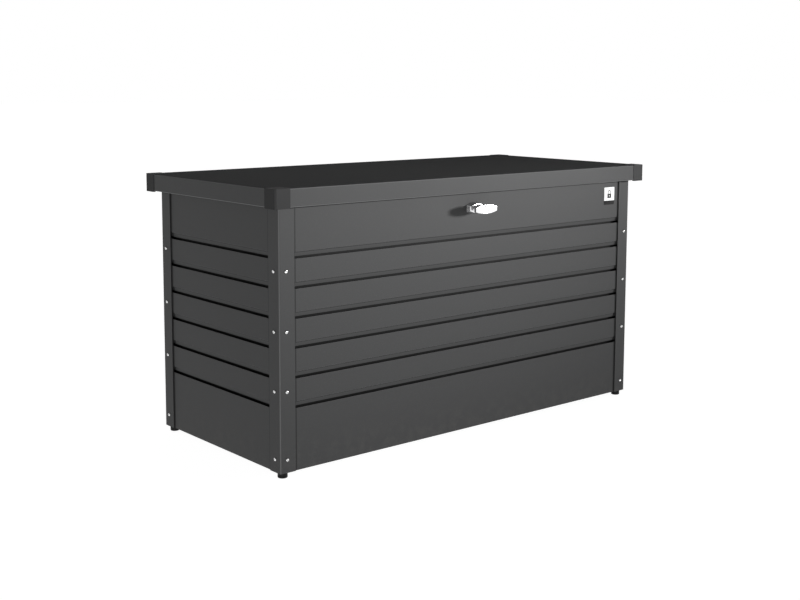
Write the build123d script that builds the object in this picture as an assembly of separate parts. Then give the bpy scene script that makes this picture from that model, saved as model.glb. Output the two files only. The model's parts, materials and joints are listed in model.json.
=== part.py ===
from build123d import *
import math
import os

# Deck storage box: a sheet-steel chest with ribbed walls, a hinged lid on two gas struts and a T-handle
# lock that throws two bolts. Millimetres, +Z up, the front faces -Y, the floor under the feet is z = 0.

# ---- lid and body, overall
LID_LENGTH = 1338.0
LID_DEPTH = 616.0
LID_TOP = 711.0
RIM_HEIGHT = 45.0
OVERHANG = 28.5
BODY_LENGTH = LID_LENGTH - 2 * OVERHANG
BODY_DEPTH = LID_DEPTH - 2 * OVERHANG
HALF_X = BODY_LENGTH / 2
HALF_Y = BODY_DEPTH / 2
FOOT_HEIGHT = 15.0
FOOT_RADIUS = 12.5
FOOT_INSET = 18.5
BODY_BOTTOM = FOOT_HEIGHT
WALL_TOP = 700.0
RIM_BOTTOM = LID_TOP - RIM_HEIGHT

# ---- corner posts and ribbed wall sheets
POST_FLANGE = 45.0
POST_THICK = 3.0
POST_ROUND = 4.0
SHEET = 1.0
GROOVE_COUNT = 6
GROOVE_PITCH = 73.4
FIRST_GROOVE = BODY_BOTTOM + 156.0
GROOVE_HEIGHT = 17.0
GROOVE_STEP = 3.0
RECESS_DEPTH = 5.0
SLOT_HEIGHT = 5.5
GROOVE_DEPTH = 13.0
LIP_HEIGHT = 9.0
LIP_ROUND = 0.45
BEND_ROUND = 0.6
FACE_X = HALF_X - POST_THICK
FACE_Y = HALF_Y - POST_THICK
WALL_BAND = GROOVE_DEPTH + SHEET
GAP = 0.3

# ---- top rails, seal, floor
RAIL_HEIGHT = 16.0
RAIL_SHEET = 1.2
SEAL_WIDTH = 8.0
SEAL_GAP = 0.4
FLOOR_Z = 29.0
FLOOR_SHEET = 1.2
FLOOR_RIM = 10.0
BEAM_WIDTH = 30.0

# ---- lid
LID_SHEET = 1.0
RIM_SHEET = 1.2
RIM_FLANGE = 24.0
RIM_RETURN = 12.0
RIM_EDGE = 3.2
RIM_TOP_ROUND = 3.0
RIM_BOTTOM_ROUND = 2.2
LID_SEAM = 0.2
LID_INSET = RIM_EDGE + LID_SEAM
LID_CORNER = 4.0
CAP_SIDE = 44.0
CAP_SKIN = 1.0
CAP_LIP = 2.5
CAP_LIP_WIDTH = 6.0
CAP_ROUND = 4.0
CAP_TOP_ROUND = 0.8
RIM_SETBACK = 6.0
STIFFENER_X = 300.0
STIFFENER_WIDTH = 40.0
STIFFENER_DEPTH = 15.0
STIFFENER_FRONT = 40.0
STIFFENER_REAR = 42.0
LID_UNDER = LID_TOP - LID_SHEET
CAP_X = LID_LENGTH / 2 + CAP_SKIN
CAP_Y = LID_DEPTH / 2 + CAP_SKIN

# ---- hinges
HINGE_X = 440.0
HINGE_AXIS_Y = FACE_Y + 9.0
HINGE_AXIS_Z = RIM_BOTTOM + 7.0
KNUCKLE_RADIUS = 5.0
PIN_RADIUS = 3.0
RUNNING = 0.05
LEAF_HALF = 40.0
LEAF_THICK = 3.0
LEAF_BOTTOM = BODY_BOTTOM + 597.0
LEAF_SCREW_X = 28.0
LEAF_SCREW_ROWS = (LEAF_BOTTOM + 14.0, LEAF_BOTTOM + 40.0)
LID_SCREW_Y = HINGE_AXIS_Y + 13.0
PIN_HEAD_RADIUS = 4.2
PIN_HEAD = 2.0
CENTRE_KNUCKLE = 29.5
KNUCKLE_GAP = 0.5

# ---- gas struts; positions are forward of and above the hinge axis
STRUT_X = 606.0
FOOT_PIVOT = (62.0, -235.0)
LID_PIVOT = (50.0, -20.0)
STUD_RADIUS = 4.0
EYE_RADIUS = 8.0
EYE_WIDTH = 10.0
CYLINDER_RADIUS = 9.0
CYLINDER_START = 16.0
CYLINDER_SHORT = 36.0
NECK_STUB = 5.0
ROD_RADIUS = 4.0
ROD_START = 28.0
ROD_BORE_START = 24.0
SOCKET_GAP = 0.5
SOCKET_COLLAR = 16.0
BRACKET_THICK = 3.0
BRACKET_HALF = 16.0
HANGER_HALF = 6.0
HANGER_FLANGE = 18.0

# ---- lock
LOCK_Z = BODY_BOTTOM + 607.0
HANDLE_PROUD = 48.0
GRIP_LENGTH = 78.0
GRIP_HEIGHT = 25.5
GRIP_END = 13.0
GRIP_DEPTH = 17.0
NECK_RADIUS = 9.0
SPINDLE_RADIUS = 6.0
SPINDLE_TAIL = 14.0
PLUG_RADIUS = 8.0
PLUG_DEPTH = 14.0
PLUG_CHAMFER = 0.8
KEYWAY_WIDTH = 2.0
KEYWAY_HEIGHT = 9.0
ROSETTE_BASE = (60.0, 33.0, 19.0)
ROSETTE_CROWN = (52.0, 27.0, 15.0)
ROSETTE_DEPTH = 13.0
MODULE = 1.5
TEETH = 18
PRESSURE_DEG = 20.0
BACKLASH = 0.25
PITCH_RADIUS = MODULE * TEETH / 2
GEAR_WIDTH = 8.0
ROD_LINE_Y = -FACE_Y + 27.5
RACK_BAR = 8.0
BOLT_RADIUS = 5.0
BOLT_TIP_X = 500.0
KEEPER_X = 505.0
KEEPER_THICK = 4.0
CASE_HALF_LENGTH = 45.0
CASE_WALL = 2.0
RACK_INNER_END = 40.0
RIGHT_RACK_END = 60.0
LEFT_RACK_END = 86.0
GUIDE_NEAR = 470.0
GUIDE_FAR = 480.0
GUIDE_HALF = 11.0
KEEPER_FLANGE = 24.0
KEEPER_FRONT = 7.0
KEEPER_REAR = 9.0
KEEPER_HOLE = 5.8

# ---- screws
SCREW_INSET = 20.0
SIDE_SCREW_INSET = 22.0
SCREW_HEAD_RADIUS = 4.4
SCREW_HEAD_HEIGHT = 2.6
SCREW_RADIUS = 2.4
SCREW_HOLE = 2.5
SCREW_TAIL = 4.0
NUT_THICK = 3.0
NUT_RADIUS = 4.4
LOW_HEAD_RADIUS = 4.2
LOW_HEAD = 2.2
SCREW_ROWS = (
    BODY_BOTTOM + 33.0,
    FIRST_GROOVE + 0 * GROOVE_PITCH + (GROOVE_HEIGHT + GROOVE_PITCH) / 2,
    FIRST_GROOVE + 2 * GROOVE_PITCH + (GROOVE_HEIGHT + GROOVE_PITCH) / 2,
    FIRST_GROOVE + 4 * GROOVE_PITCH + (GROOVE_HEIGHT + GROOVE_PITCH) / 2,
)

# ---- label
LABEL_WIDTH = 45.0
LABEL_HEIGHT = 52.0
LABEL_THICK = 0.8
LABEL_INSET = 64.0
LABEL_TOP = BODY_BOTTOM + 632.0

# The handle stands in front of the lid, so the model moves back by half of that to centre the whole box.
HANDLE_FRONT = FACE_Y + HANDLE_PROUD
CAP_FRONT = LID_DEPTH / 2 + CAP_SKIN
CENTRE_SHIFT = (HANDLE_FRONT - CAP_FRONT) / 2


def block(x0, x1, y0, y1, z0, z1):
    """A box between two corners."""
    middle = Pos((x0 + x1) / 2, (y0 + y1) / 2, (z0 + z1) / 2)
    return middle * Box(abs(x1 - x0), abs(y1 - y0), abs(z1 - z0))


def rod_x(radius, x0, x1, y, z):
    """A cylinder along X."""
    return Pos((x0 + x1) / 2, y, z) * Rot(0, 90, 0) * Cylinder(radius, abs(x1 - x0))


def rod_y(radius, y0, y1, x, z):
    """A cylinder along Y."""
    return Pos(x, (y0 + y1) / 2, z) * Rot(90, 0, 0) * Cylinder(radius, abs(y1 - y0))


def rod_z(radius, z0, z1, x, y):
    """A cylinder along Z."""
    return Pos(x, y, (z0 + z1) / 2) * Cylinder(radius, abs(z1 - z0))


def save(shape, name):
    """Write one node, in the frame whose origin is under the middle of the whole object."""
    moved = Pos(0, CENTRE_SHIFT, 0) * shape
    moved.label = name
    export_step(moved, f"parts/{name}.step")


def save_group(shapes, name):
    """Write separate solids as one node."""
    group = Compound(children=[Pos(0, CENTRE_SHIFT, 0) * shape for shape in shapes])
    group.label = name
    export_step(group, f"parts/{name}.step")


# ---- walls

def groove_points(foot):
    """The front side of one folded groove: lip, slot behind it, recessed face, bend to the next slat."""
    return [
        (0, foot),
        (SHEET, foot),
        (SHEET, foot - LIP_HEIGHT),
        (GROOVE_DEPTH, foot - LIP_HEIGHT),
        (GROOVE_DEPTH, foot + SLOT_HEIGHT),
        (RECESS_DEPTH, foot + SLOT_HEIGHT),
        (GROOVE_STEP, foot + GROOVE_HEIGHT),
        (0, foot + GROOVE_HEIGHT),
    ]


def groove_back(foot):
    """The inner side of the same groove, from top to bottom."""
    return [
        (SHEET, foot + GROOVE_HEIGHT + SHEET),
        (GROOVE_STEP + SHEET, foot + GROOVE_HEIGHT + SHEET),
        (RECESS_DEPTH + SHEET, foot + SLOT_HEIGHT + SHEET),
        (GROOVE_DEPTH + SHEET, foot + SLOT_HEIGHT + SHEET),
        (GROOVE_DEPTH + SHEET, foot - LIP_HEIGHT - SHEET),
        (SHEET, foot - LIP_HEIGHT - SHEET),
    ]


def wall_section():
    """The wall's section: first coordinate inwards from the outer face, second up."""
    feet = [FIRST_GROOVE + i * GROOVE_PITCH for i in range(GROOVE_COUNT)]
    points = [(0, BODY_BOTTOM)]
    for foot in feet:
        points += groove_points(foot)
    points += [(0, WALL_TOP), (SHEET, WALL_TOP)]
    for foot in reversed(feet):
        points += groove_back(foot)
    points.append((SHEET, BODY_BOTTOM))
    return make_face(Polyline(*points, close=True))


def soften(section):
    """Round the folds a person sees: each slat's top lip and the bend over each groove."""
    lips = section.vertices().filter_by(lambda v: is_fold(v, 0))
    section = fillet(lips, LIP_ROUND)
    bends = section.vertices().filter_by(lambda v: is_fold(v, GROOVE_HEIGHT))
    return fillet(bends, BEND_ROUND)


def is_fold(vertex, height):
    """True for an outer corner at a height above some groove's foot."""
    steps = (vertex.Y - height - FIRST_GROOVE) / GROOVE_PITCH
    near = abs(steps - round(steps)) * GROOVE_PITCH < 0.01
    return near and -0.5 < steps < GROOVE_COUNT - 0.5 and vertex.X < 0.01


def wall(length):
    """A wall sheet along X, its outer face on y = 0 towards -Y, its folds inwards to +Y."""
    plane = Plane(origin=(-length / 2, 0, 0), x_dir=(0, 1, 0), z_dir=(1, 0, 0))
    return extrude(plane * soften(wall_section()), amount=length)


def screw_places(end, inset):
    """Along a wall's own length, both ends and every row of post screws."""
    return [(side * (end - inset), z) for side in (-1, 1) for z in SCREW_ROWS]


def drilled_wall(length, end, inset):
    sheet = wall(length)
    for x, z in screw_places(end, inset):
        sheet -= rod_y(SCREW_HOLE, -1, 3, x, z)
    return sheet


def long_wall():
    return drilled_wall(2 * (FACE_X - GAP), HALF_X, SCREW_INSET)


def short_wall():
    return drilled_wall(2 * (FACE_Y - WALL_BAND - GAP - SHEET / 2), HALF_Y, SIDE_SCREW_INSET)


def front_wall():
    sheet = Pos(0, -FACE_Y, 0) * long_wall()
    return sheet - rod_y(SPINDLE_RADIUS + 1, -FACE_Y - 1, -FACE_Y + 3, 0, LOCK_Z)


def rear_wall():
    sheet = Pos(0, FACE_Y, 0) * Rot(0, 0, 180) * long_wall()
    for x, z in leaf_screw_places(HINGE_X) + leaf_screw_places(-HINGE_X):
        sheet -= rod_y(SCREW_HOLE, FACE_Y - SHEET - 1, FACE_Y + 1, x, z)
    return sheet


def side_wall(side):
    return Pos(side * FACE_X, 0, 0) * Rot(0, 0, side * 90) * short_wall()


# ---- posts, feet, rails, floor

def post(side_x, side_y):
    """An angle post: two flanges that cover the ends of two walls."""
    angle = block(HALF_X - POST_FLANGE, HALF_X, HALF_Y - POST_FLANGE, HALF_Y, BODY_BOTTOM, WALL_TOP)
    inner = (HALF_X - POST_FLANGE - 1, FACE_X, HALF_Y - POST_FLANGE - 1, FACE_Y)
    angle -= block(*inner, BODY_BOTTOM - 1, WALL_TOP + 1)
    corner = angle.edges().filter_by(Axis.Z).sort_by(lambda e: e.center().X + e.center().Y)[-1]
    angle = fillet(corner, POST_ROUND)
    for z in SCREW_ROWS:
        angle -= rod_y(SCREW_HOLE, FACE_Y - 1, HALF_Y + 1, HALF_X - SCREW_INSET, z)
        angle -= rod_x(SCREW_HOLE, FACE_X - 1, HALF_X + 1, HALF_Y - SIDE_SCREW_INSET, z)
    return to_corner(angle, side_x, side_y)


def to_corner(shape, side_x, side_y):
    """Mirror a piece made at the right rear corner to another corner."""
    if side_x < 0:
        shape = mirror(shape, about=Plane.YZ)
    if side_y < 0:
        shape = mirror(shape, about=Plane.XZ)
    return shape


def foot(side_x, side_y):
    """A round foot with a stem that plugs into the floor beam."""
    x = side_x * (HALF_X - FOOT_INSET)
    y = side_y * (HALF_Y - FOOT_INSET)
    pad = rod_z(FOOT_RADIUS, 0, FOOT_HEIGHT, x, y)
    pad = fillet(pad.edges().group_by(Axis.Z)[0], 2.0)
    return pad + rod_z(STUD_RADIUS, FOOT_HEIGHT, FLOOR_Z - RAIL_SHEET, x, y)


def floor_beam(side_y):
    """A channel, open below, that carries the floor and holds two feet."""
    near = side_y * (FACE_Y - SHEET)
    far = side_y * (FACE_Y - SHEET - BEAM_WIDTH)
    half = FACE_X - SHEET - GAP
    low, high = sorted((near, far))
    beam = block(-half, half, low, high, BODY_BOTTOM, FLOOR_Z)
    return beam - block(-half - 1, half + 1, low + RAIL_SHEET, high - RAIL_SHEET, 0, FLOOR_Z - RAIL_SHEET)


def floor_panel():
    """A tray with an upturned edge."""
    x = FACE_X - SHEET - GAP
    y = FACE_Y - SHEET - GAP
    tray = block(-x, x, -y, y, FLOOR_Z, FLOOR_Z + FLOOR_SHEET + FLOOR_RIM)
    x -= FLOOR_SHEET
    y -= FLOOR_SHEET
    return tray - block(-x, x, -y, y, FLOOR_Z + FLOOR_SHEET, FLOOR_Z + 2 * FLOOR_RIM)


def channel_x(half, y0, y1):
    """A top rail along X: a channel, open below."""
    rail = block(-half, half, y0, y1, WALL_TOP - RAIL_HEIGHT, WALL_TOP)
    return rail - block(-half - 1, half + 1, y0 + RAIL_SHEET, y1 - RAIL_SHEET, 0, WALL_TOP - RAIL_SHEET)


def long_rail(side_y):
    rail = channel_x(FACE_X - SHEET, FACE_Y - SHEET - WALL_BAND, FACE_Y - SHEET)
    return rail if side_y > 0 else mirror(rail, about=Plane.XZ)


def short_rail(side_x):
    half = FACE_Y - SHEET - WALL_BAND
    rail = channel_x(half, -WALL_BAND / 2, WALL_BAND / 2)
    return Pos(side_x * (FACE_X - SHEET - WALL_BAND / 2), 0, 0) * Rot(0, 0, 90) * rail


def lid_seal():
    """Four foam strips on the top rails, just under the lid."""
    top = LID_UNDER - SEAL_GAP
    x = FACE_X - SHEET
    y = FACE_Y - SHEET
    strips = []
    for side in (-1, 1):
        near, far = sorted((side * y, side * (y - SEAL_WIDTH)))
        strips.append(block(-x, x, near, far, WALL_TOP, top))
        near, far = sorted((side * x, side * (x - SEAL_WIDTH)))
        strips.append(block(near, far, -y + SEAL_WIDTH + GAP, y - SEAL_WIDTH - GAP, WALL_TOP, top))
    return strips


# ---- lid

def lid_outline(grow, z0, z1):
    """The lid's outline with rounded corners, grown by a skin, between two heights."""
    sketch = RectangleRounded(LID_LENGTH + 2 * grow, LID_DEPTH + 2 * grow, LID_CORNER + grow)
    return Pos(0, 0, z0) * extrude(sketch, amount=z1 - z0)


def lid_top():
    """The sheet inside the rims' rounded edges, its corners cut away for the caps."""
    x = LID_LENGTH / 2 - LID_INSET
    y = LID_DEPTH / 2 - LID_INSET
    notch_x = CAP_X - CAP_SIDE
    notch_y = CAP_Y - CAP_SIDE
    sheet = block(-x, x, -notch_y, notch_y, LID_UNDER, LID_TOP)
    return sheet + block(-notch_x, notch_x, -y, y, LID_UNDER, LID_TOP)


def rim_section(has_return):
    """The rim's folded section: first coordinate inwards from the outer face, second up."""
    under = LID_UNDER - RIM_SHEET
    points = [(0, RIM_BOTTOM), (0, LID_TOP), (RIM_EDGE, LID_TOP), (RIM_EDGE, LID_UNDER)]
    points += [(RIM_FLANGE, LID_UNDER), (RIM_FLANGE, under), (RIM_SHEET, under)]
    if has_return:
        points += [(RIM_SHEET, RIM_BOTTOM + RIM_SHEET), (RIM_RETURN, RIM_BOTTOM + RIM_SHEET)]
        points.append((RIM_RETURN, RIM_BOTTOM))
    else:
        points.append((RIM_SHEET, RIM_BOTTOM))
    section = make_face(Polyline(*points, close=True))
    outer = section.vertices().filter_by(lambda v: v.X < GAP)
    section = fillet(outer.sort_by(Axis.Y)[-1], RIM_TOP_ROUND)
    if has_return:
        outer = section.vertices().filter_by(lambda v: v.X < GAP)
        section = fillet(outer.sort_by(Axis.Y)[0], RIM_BOTTOM_ROUND)
    return section


def rim(half, has_return):
    """A rim along X with its outer face on y = 0 towards -Y."""
    plane = Plane(origin=(-half, 0, 0), x_dir=(0, 1, 0), z_dir=(1, 0, 0))
    return extrude(plane * rim_section(has_return), amount=2 * half)


def rim_front():
    return Pos(0, -LID_DEPTH / 2, 0) * rim(LID_LENGTH / 2 - RIM_SETBACK, True)


def rim_rear():
    piece = Pos(0, LID_DEPTH / 2, 0) * Rot(0, 0, 180) * rim(LID_LENGTH / 2 - RIM_SETBACK, False)
    for x in lid_screw_places():
        piece -= rod_z(SCREW_HOLE, LID_UNDER - RIM_SHEET - 1, LID_UNDER + 1, x, LID_SCREW_Y)
    return piece


def rim_side(side):
    half = LID_DEPTH / 2 - RIM_FLANGE - GAP
    return Pos(side * LID_LENGTH / 2, 0, 0) * Rot(0, 0, side * 90) * rim(half, True)


def cap_limit(edge, low, top):
    """The cap's side view, its lower inner corner rounded, as a slab along X that cuts the cap in Y."""
    far = edge + 2 * CAP_SIDE
    section = make_face(Polyline((edge, low), (far, low), (far, top), (edge, top), close=True))
    corner = section.vertices().sort_by(lambda v: v.X + v.Y)[0]
    return extrude(Plane.YZ * fillet(corner, CAP_ROUND), amount=LID_LENGTH)


def corner_cap(side_x, side_y):
    """A moulded cap over one lid corner: skin outside and above, and a lip under the rim."""
    low = RIM_BOTTOM - CAP_LIP
    top = LID_TOP + CAP_SKIN
    cap = lid_outline(CAP_SKIN, low, top)
    rounded = cap.edges().group_by(Axis.Z)[-1]
    cap = fillet(rounded, CAP_TOP_ROUND)
    cap -= lid_outline(0, RIM_BOTTOM, LID_TOP)
    inner_x = CAP_X - CAP_LIP_WIDTH
    inner_y = CAP_Y - CAP_LIP_WIDTH
    cap -= block(-inner_x, inner_x, -inner_y, inner_y, low - 1, RIM_BOTTOM + 1)
    edge_x = CAP_X - CAP_SIDE
    edge_y = CAP_Y - CAP_SIDE
    cap &= cap_limit(edge_y, low, top)
    cap &= mirror(Rot(0, 0, 90) * cap_limit(edge_x, low, top), about=Plane.YZ)
    pad = (edge_x, LID_LENGTH / 2 - LID_INSET, edge_y, LID_DEPTH / 2 - LID_INSET)
    cap += block(*pad, LID_UNDER, LID_TOP)
    return to_corner(cap, side_x, side_y)


def lid_stiffener(side):
    """A hat channel glued under the lid sheet, from front to rear."""
    half = STIFFENER_WIDTH / 2
    y0 = -FACE_Y + STIFFENER_FRONT
    y1 = HINGE_AXIS_Y - STIFFENER_REAR
    x = side * STIFFENER_X
    low = LID_UNDER - STIFFENER_DEPTH
    hat = block(x - half, x + half, y0, y1, low, LID_UNDER)
    half -= RIM_SHEET
    return hat - block(x - half, x + half, y0 - 1, y1 + 1, low + RIM_SHEET, LID_TOP)


# ---- hinges

def leaf_screw_places(x):
    return [(x + dx, z) for dx in (-LEAF_SCREW_X, LEAF_SCREW_X) for z in LEAF_SCREW_ROWS]


def lid_screw_places():
    return [x + dx for x in (-HINGE_X, HINGE_X) for dx in (-LEAF_SCREW_X, LEAF_SCREW_X)]


def hinge_body_leaf(x):
    """Flat leaf on the rear wall's outer face, stepped out to the middle knuckle."""
    half = CENTRE_KNUCKLE / 2
    back = FACE_Y + LEAF_THICK
    leaf_top = HINGE_AXIS_Z - KNUCKLE_RADIUS
    leaf = block(x - LEAF_HALF, x + LEAF_HALF, FACE_Y, back, LEAF_BOTTOM, leaf_top)
    leaf += block(x - half, x + half, FACE_Y, HINGE_AXIS_Y, leaf_top, leaf_top + LEAF_THICK)
    leaf += rod_x(KNUCKLE_RADIUS, x - half, x + half, HINGE_AXIS_Y, HINGE_AXIS_Z)
    leaf -= rod_x(PIN_RADIUS + RUNNING, x - half - 1, x + half + 1, HINGE_AXIS_Y, HINGE_AXIS_Z)
    for sx, sz in leaf_screw_places(x):
        leaf -= rod_y(SCREW_HOLE, FACE_Y - 1, back + 1, sx, sz)
    return leaf


def hinge_lid_leaf(x):
    """Cranked leaf: two outer knuckles, a web up to the rim and a flange under it."""
    y0 = HINGE_AXIS_Y + KNUCKLE_RADIUS - LEAF_THICK
    y1 = HINGE_AXIS_Y + KNUCKLE_RADIUS
    top = LID_UNDER - RIM_SHEET
    clear = HINGE_AXIS_Z + KNUCKLE_RADIUS + 1.5
    inner = CENTRE_KNUCKLE / 2 + KNUCKLE_GAP
    leaf = block(x - LEAF_HALF, x + LEAF_HALF, y0, y1, clear, top)
    leaf += block(x - LEAF_HALF, x + LEAF_HALF, y0, LID_DEPTH / 2 - RIM_EDGE, top - LEAF_THICK, top)
    for side in (-1, 1):
        near, far = sorted((x + side * inner, x + side * LEAF_HALF))
        leaf += block(near, far, y0, y1, HINGE_AXIS_Z, clear)
        leaf += rod_x(KNUCKLE_RADIUS, near, far, HINGE_AXIS_Y, HINGE_AXIS_Z)
    leaf -= rod_x(PIN_RADIUS + RUNNING, x - LEAF_HALF - 1, x + LEAF_HALF + 1, HINGE_AXIS_Y, HINGE_AXIS_Z)
    for sx in (x - LEAF_SCREW_X, x + LEAF_SCREW_X):
        leaf -= rod_z(SCREW_HOLE, top - LEAF_THICK - 1, top + 1, sx, LID_SCREW_Y)
    return leaf


def hinge_pin(x):
    pin = rod_x(PIN_RADIUS, x - LEAF_HALF - 1, x + LEAF_HALF + 1, HINGE_AXIS_Y, HINGE_AXIS_Z)
    for side in (-1, 1):
        near = x + side * (LEAF_HALF + KNUCKLE_GAP)
        pin += rod_x(PIN_HEAD_RADIUS, near, near + side * PIN_HEAD, HINGE_AXIS_Y, HINGE_AXIS_Z)
    return pin


# ---- gas struts

def strut_point(place):
    """From forward of and above the hinge axis to y and z."""
    forward, up = place
    return HINGE_AXIS_Y - forward, HINGE_AXIS_Z + up


def strut_bracket(side):
    """Plate on the side wall with the stud that the cylinder turns on."""
    y, z = strut_point(FOOT_PIVOT)
    outer = side * (FACE_X - SHEET)
    inner = outer - side * BRACKET_THICK
    plate = block(outer, inner, y - BRACKET_HALF, y + BRACKET_HALF, z - BRACKET_HALF, z + EYE_RADIUS + 6)
    return plate + rod_x(STUD_RADIUS, inner, side * (STRUT_X - EYE_RADIUS), y, z)


def lid_strut_bracket(side):
    """Plate that hangs from the lid, with a short stud beside the rod's socket."""
    y, z = strut_point(LID_PIVOT)
    plate_x = STRUT_X + EYE_WIDTH / 2 + HANGER_HALF
    x0 = side * plate_x
    x1 = side * (plate_x + BRACKET_THICK)
    y0 = y - HANGER_HALF
    y1 = y + HANGER_HALF
    plate = block(x0, x1, y0, y1, z - HANGER_HALF, LID_UNDER)
    plate += block(side * (plate_x - HANGER_FLANGE), x1, y0, y1, LID_UNDER - BRACKET_THICK, LID_UNDER)
    return plate + rod_x(STUD_RADIUS, side * (STRUT_X + EYE_WIDTH / 2 + SOCKET_GAP), x0, y, z)


def along_strut(shape, side):
    """Place a piece made along +Z from the cylinder's pivot onto the strut's line."""
    y0, z0 = strut_point(FOOT_PIVOT)
    y1, z1 = strut_point(LID_PIVOT)
    lean = math.degrees(math.atan2(y1 - y0, z1 - z0))
    return Pos(side * STRUT_X, y0, z0) * Rot(-lean, 0, 0) * shape


def strut_length():
    y0, z0 = strut_point(FOOT_PIVOT)
    y1, z1 = strut_point(LID_PIVOT)
    return math.hypot(y1 - y0, z1 - z0)


def strut_cylinder(side):
    """Gas cylinder with an eye on the side wall's stud."""
    length = strut_length() - CYLINDER_SHORT
    body = rod_z(CYLINDER_RADIUS, CYLINDER_START, length, 0, 0)
    body = fillet(body.edges().filter_by(GeomType.CIRCLE), 1.5)
    body += rod_x(EYE_RADIUS, -EYE_WIDTH / 2, EYE_WIDTH / 2, 0, 0)
    body += rod_z(NECK_STUB, STUD_RADIUS, CYLINDER_START + 2, 0, 0)
    body -= rod_x(STUD_RADIUS + RUNNING, -EYE_WIDTH, EYE_WIDTH, 0, 0)
    body -= rod_z(ROD_RADIUS + RUNNING, ROD_BORE_START, length + 5, 0, 0)
    return along_strut(body, side)


def strut_rod(side):
    """Piston rod with a closed ball socket at the lid end."""
    length = strut_length()
    rod = rod_z(ROD_RADIUS, ROD_START, length, 0, 0)
    rod += rod_x(EYE_RADIUS - 1, -EYE_WIDTH / 2, EYE_WIDTH / 2, 0, length)
    rod += rod_z(NECK_STUB, length - SOCKET_COLLAR, length, 0, 0)
    return along_strut(rod, side)


# ---- lock

def lens(length, height, end):
    """A flat bar outline: bowed above and below, cut square at both ends."""
    top = ThreePointArc((-length / 2, end / 2), (0, height / 2), (length / 2, end / 2))
    right = Line((length / 2, end / 2), (length / 2, -end / 2))
    bottom = ThreePointArc((length / 2, -end / 2), (0, -height / 2), (-length / 2, -end / 2))
    left = Line((-length / 2, -end / 2), (-length / 2, end / 2))
    return make_face(Curve() + [top, right, bottom, left])


def lens_at(length, height, end, y):
    """The outline standing in the plane at y, facing the front."""
    plane = Plane(origin=(0, y, LOCK_Z), x_dir=(1, 0, 0), z_dir=(0, -1, 0))
    return plane * lens(length, height, end)


def grip():
    """The grip: full size at the front, drawn in towards the neck."""
    front = -HANDLE_FRONT
    shoulder = front + 6
    face = extrude(lens_at(GRIP_LENGTH, GRIP_HEIGHT, GRIP_END, shoulder), amount=6)
    face = fillet(face.faces().sort_by(Axis.Y)[0].edges(), 1.2)
    rear = lens_at(GRIP_LENGTH * 0.62, GRIP_HEIGHT * 0.8, GRIP_END * 0.9, front + GRIP_DEPTH)
    taper = loft([lens_at(GRIP_LENGTH, GRIP_HEIGHT, GRIP_END, shoulder), rear])
    return face + taper


def handle():
    """T-handle: grip, neck and spindle in one casting, bored for the lock plug."""
    front = -HANDLE_FRONT
    body = grip()
    body += rod_y(NECK_RADIUS, front + GRIP_DEPTH - 2, -FACE_Y - 1, 0, LOCK_Z)
    body += rod_y(SPINDLE_RADIUS, -FACE_Y - 2, ROD_LINE_Y + SPINDLE_TAIL, 0, LOCK_Z)
    return body - chamfered_plug(PLUG_RADIUS + RUNNING, front, front + PLUG_DEPTH, PLUG_CHAMFER)


def chamfered_plug(radius, y0, y1, flare):
    """A cylinder whose front end widens by flare, or narrows if flare is negative."""
    plane = Plane(origin=(0, y0, LOCK_Z), x_dir=(1, 0, 0), z_dir=(0, 1, 0))
    cone = extrude(plane * Circle(radius + flare), amount=abs(flare), taper=math.copysign(45, flare))
    return cone + rod_y(radius, y0 + abs(flare), y1, 0, LOCK_Z)


def lock_plug():
    """Key cylinder with a keyway."""
    front = -HANDLE_FRONT
    plug = chamfered_plug(PLUG_RADIUS, front, front + PLUG_DEPTH - GAP, -PLUG_CHAMFER)
    x = KEYWAY_WIDTH / 2
    z = KEYWAY_HEIGHT / 2
    return plug - block(-x, x, front - 1, front + PLUG_DEPTH - 5, LOCK_Z - z, LOCK_Z + z)


def escutcheon():
    """Lens-shaped rosette between the handle and the front wall."""
    base = lens_at(*ROSETTE_BASE, -FACE_Y)
    crown = lens_at(*ROSETTE_CROWN, -FACE_Y - ROSETTE_DEPTH)
    plate = loft([base, crown])
    return plate - rod_y(NECK_RADIUS + RUNNING, -HANDLE_FRONT, -FACE_Y + 1, 0, LOCK_Z)


def involute(base, radius):
    """Angle swept by the involute of a base circle out to a radius."""
    turn = math.acos(base / radius)
    return math.tan(turn) - turn


def gear_outline():
    """Involute pinion, a tooth centred on the first axis."""
    base = PITCH_RADIUS * math.cos(math.radians(PRESSURE_DEG))
    tip = PITCH_RADIUS + MODULE
    root = PITCH_RADIUS - 1.25 * MODULE
    half = math.pi / 2 / TEETH - BACKLASH / 2 / PITCH_RADIUS + involute(base, PITCH_RADIUS)
    steps = 5
    radii = [base + (tip - base) * i / steps for i in range(steps + 1)]
    flank = [(r, half - involute(base, r)) for r in radii]
    rising = [(root, -half)] + [(r, -a) for r, a in flank]
    falling = [(r, a) for r, a in reversed(flank)] + [(root, half)]
    tooth = rising + falling
    points = []
    for n in range(TEETH):
        turn = 2 * math.pi * n / TEETH
        points += [(r * math.cos(a + turn), r * math.sin(a + turn)) for r, a in tooth]
    return make_face(Polyline(*points, close=True))


def pinion():
    """The gear on the spindle."""
    plane = Plane(origin=(0, ROD_LINE_Y + GEAR_WIDTH / 2, LOCK_Z), x_dir=(1, 0, 0), z_dir=(0, -1, 0))
    gear = extrude(plane * gear_outline(), amount=GEAR_WIDTH)
    return gear - rod_y(SPINDLE_RADIUS, ROD_LINE_Y - 10, ROD_LINE_Y + 10, 0, LOCK_Z)


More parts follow.
